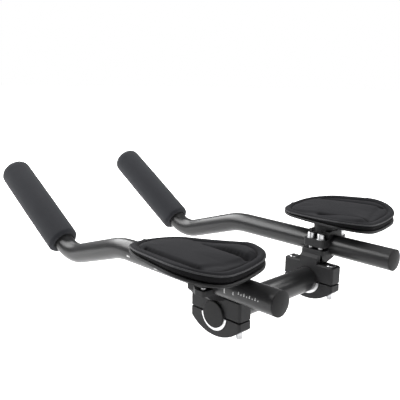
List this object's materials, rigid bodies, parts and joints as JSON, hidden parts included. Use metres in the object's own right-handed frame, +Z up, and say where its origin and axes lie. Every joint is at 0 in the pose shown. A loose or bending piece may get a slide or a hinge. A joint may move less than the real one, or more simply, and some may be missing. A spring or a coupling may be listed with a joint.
{
  "type": "aero handlebar extension",
  "caption": "Aero handlebar extension with bent bars, closed foam grips and cupped padded armrests, clamped to a short round crossbar.",
  "frame": {"origin": "middle of the crossbar's axis, where a stem holds it", "axes": "+X to the rider's right along the crossbar, +Y forwards along the extensions to the grips, +Z up"},
  "size_m": [0.3347, 0.4483, 0.1217],
  "materials": {
    "bar": "satin black",
    "clamp": "bead-blasted dark grey",
    "liner": "bare machined",
    "bolts": "polished",
    "plug": "matte",
    "foam": "closed-cell foam skin",
    "cup": "moulded",
    "pad": "knit cover"
  },
  "bodies": {
    "crossbar": {"crossbar_tube": "bar", "crossbar_plugs": "plug"},
    "left_bracket": {"left_clamp_body": "clamp", "left_clamp_cap": "clamp", "left_cap_liner": "liner", "left_clamp_bolts": "bolts", "left_strap": "clamp", "left_strap_bolts": "bolts", "left_strap_washers": "bolts"},
    "left_extension": {"left_extension_bar": "bar", "left_bar_plug": "plug", "left_foam_grip": "foam"},
    "left_armrest": {"left_armrest_spacer": "clamp", "left_armrest_cup": "cup", "left_armrest_bolt": "bolts", "left_armrest_pad": "pad"},
    "right_bracket": {"right_clamp_body": "clamp", "right_clamp_cap": "clamp", "right_cap_liner": "liner", "right_clamp_bolts": "bolts", "right_strap": "clamp", "right_strap_bolts": "bolts", "right_strap_washers": "bolts"},
    "right_extension": {"right_extension_bar": "bar", "right_bar_plug": "plug", "right_foam_grip": "foam"},
    "right_armrest": {"right_armrest_spacer": "clamp", "right_armrest_cup": "cup", "right_armrest_bolt": "bolts", "right_armrest_pad": "pad"}
  },
  "joints": [
    {"name": "left_tilt", "type": "hinge", "parent": "crossbar", "child": "left_bracket", "pos_m": [-0.0705, 0, 0], "axis": [1, 0, 0], "range_deg": [-15, 25]},
    {"name": "left_reach", "type": "slide", "parent": "left_bracket", "child": "left_extension", "axis": [0, 1, 0], "range_m": [-0.06, 0.03]},
    {"name": "left_armrest_swivel", "type": "hinge", "parent": "left_bracket", "child": "left_armrest", "pos_m": [-0.087, -0.003, 0.052], "axis": [0, 0, 1], "range_deg": [-15, 15]},
    {"name": "right_tilt", "type": "hinge", "parent": "crossbar", "child": "right_bracket", "pos_m": [0.0705, 0, 0], "axis": [1, 0, 0], "range_deg": [-15, 25]},
    {"name": "right_reach", "type": "slide", "parent": "right_bracket", "child": "right_extension", "axis": [0, 1, 0], "range_m": [-0.06, 0.03]},
    {"name": "right_armrest_swivel", "type": "hinge", "parent": "right_bracket", "child": "right_armrest", "pos_m": [0.087, -0.003, 0.052], "axis": [0, 0, 1], "range_deg": [-15, 15]}
  ]
}
